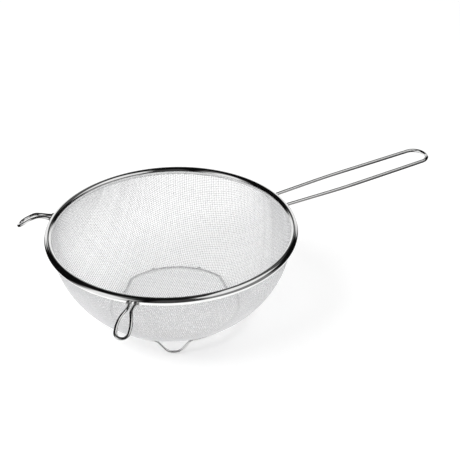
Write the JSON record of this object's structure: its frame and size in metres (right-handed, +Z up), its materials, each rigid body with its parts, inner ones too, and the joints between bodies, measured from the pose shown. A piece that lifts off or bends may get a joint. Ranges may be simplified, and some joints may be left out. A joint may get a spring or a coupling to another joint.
{
  "type": "kitchen strainer",
  "caption": "Round strainer with a woven wire bowl in a rolled rim, a long bent wire handle, two wire hooks that rest on a pot's edge, and a wire ring with bent feet under the flat bottom.",
  "frame": {"origin": "On the surface that the feet stand on, under the centre of the bowl", "axes": "+X along the handle, away from the bowl; +Z up, out of the bowl's mouth; +Y to the left of the handle as seen from above with the handle pointing away"},
  "size_m": [0.3658, 0.2064, 0.0871],
  "materials": {
    "woven_cloth": "woven from bright drawn stainless wire",
    "polished_rim": "mirror polished stainless steel",
    "polished_wire": "polished stainless steel wire",
    "drawn_wire": "plain drawn wire",
    "weld_metal": "cleaned weld metal, dull"
  },
  "bodies": {
    "root": {"mesh_bowl": "woven_cloth", "rim_band": "polished_rim", "rim_hoop_wire": "drawn_wire", "handle": "polished_wire", "rest_hook_left": "polished_wire", "rest_hook_right": "polished_wire", "foot_ring": "polished_wire", "handle_welds": "weld_metal", "hook_welds": "weld_metal", "stand_welds": "weld_metal"}
  },
  "joints": []
}
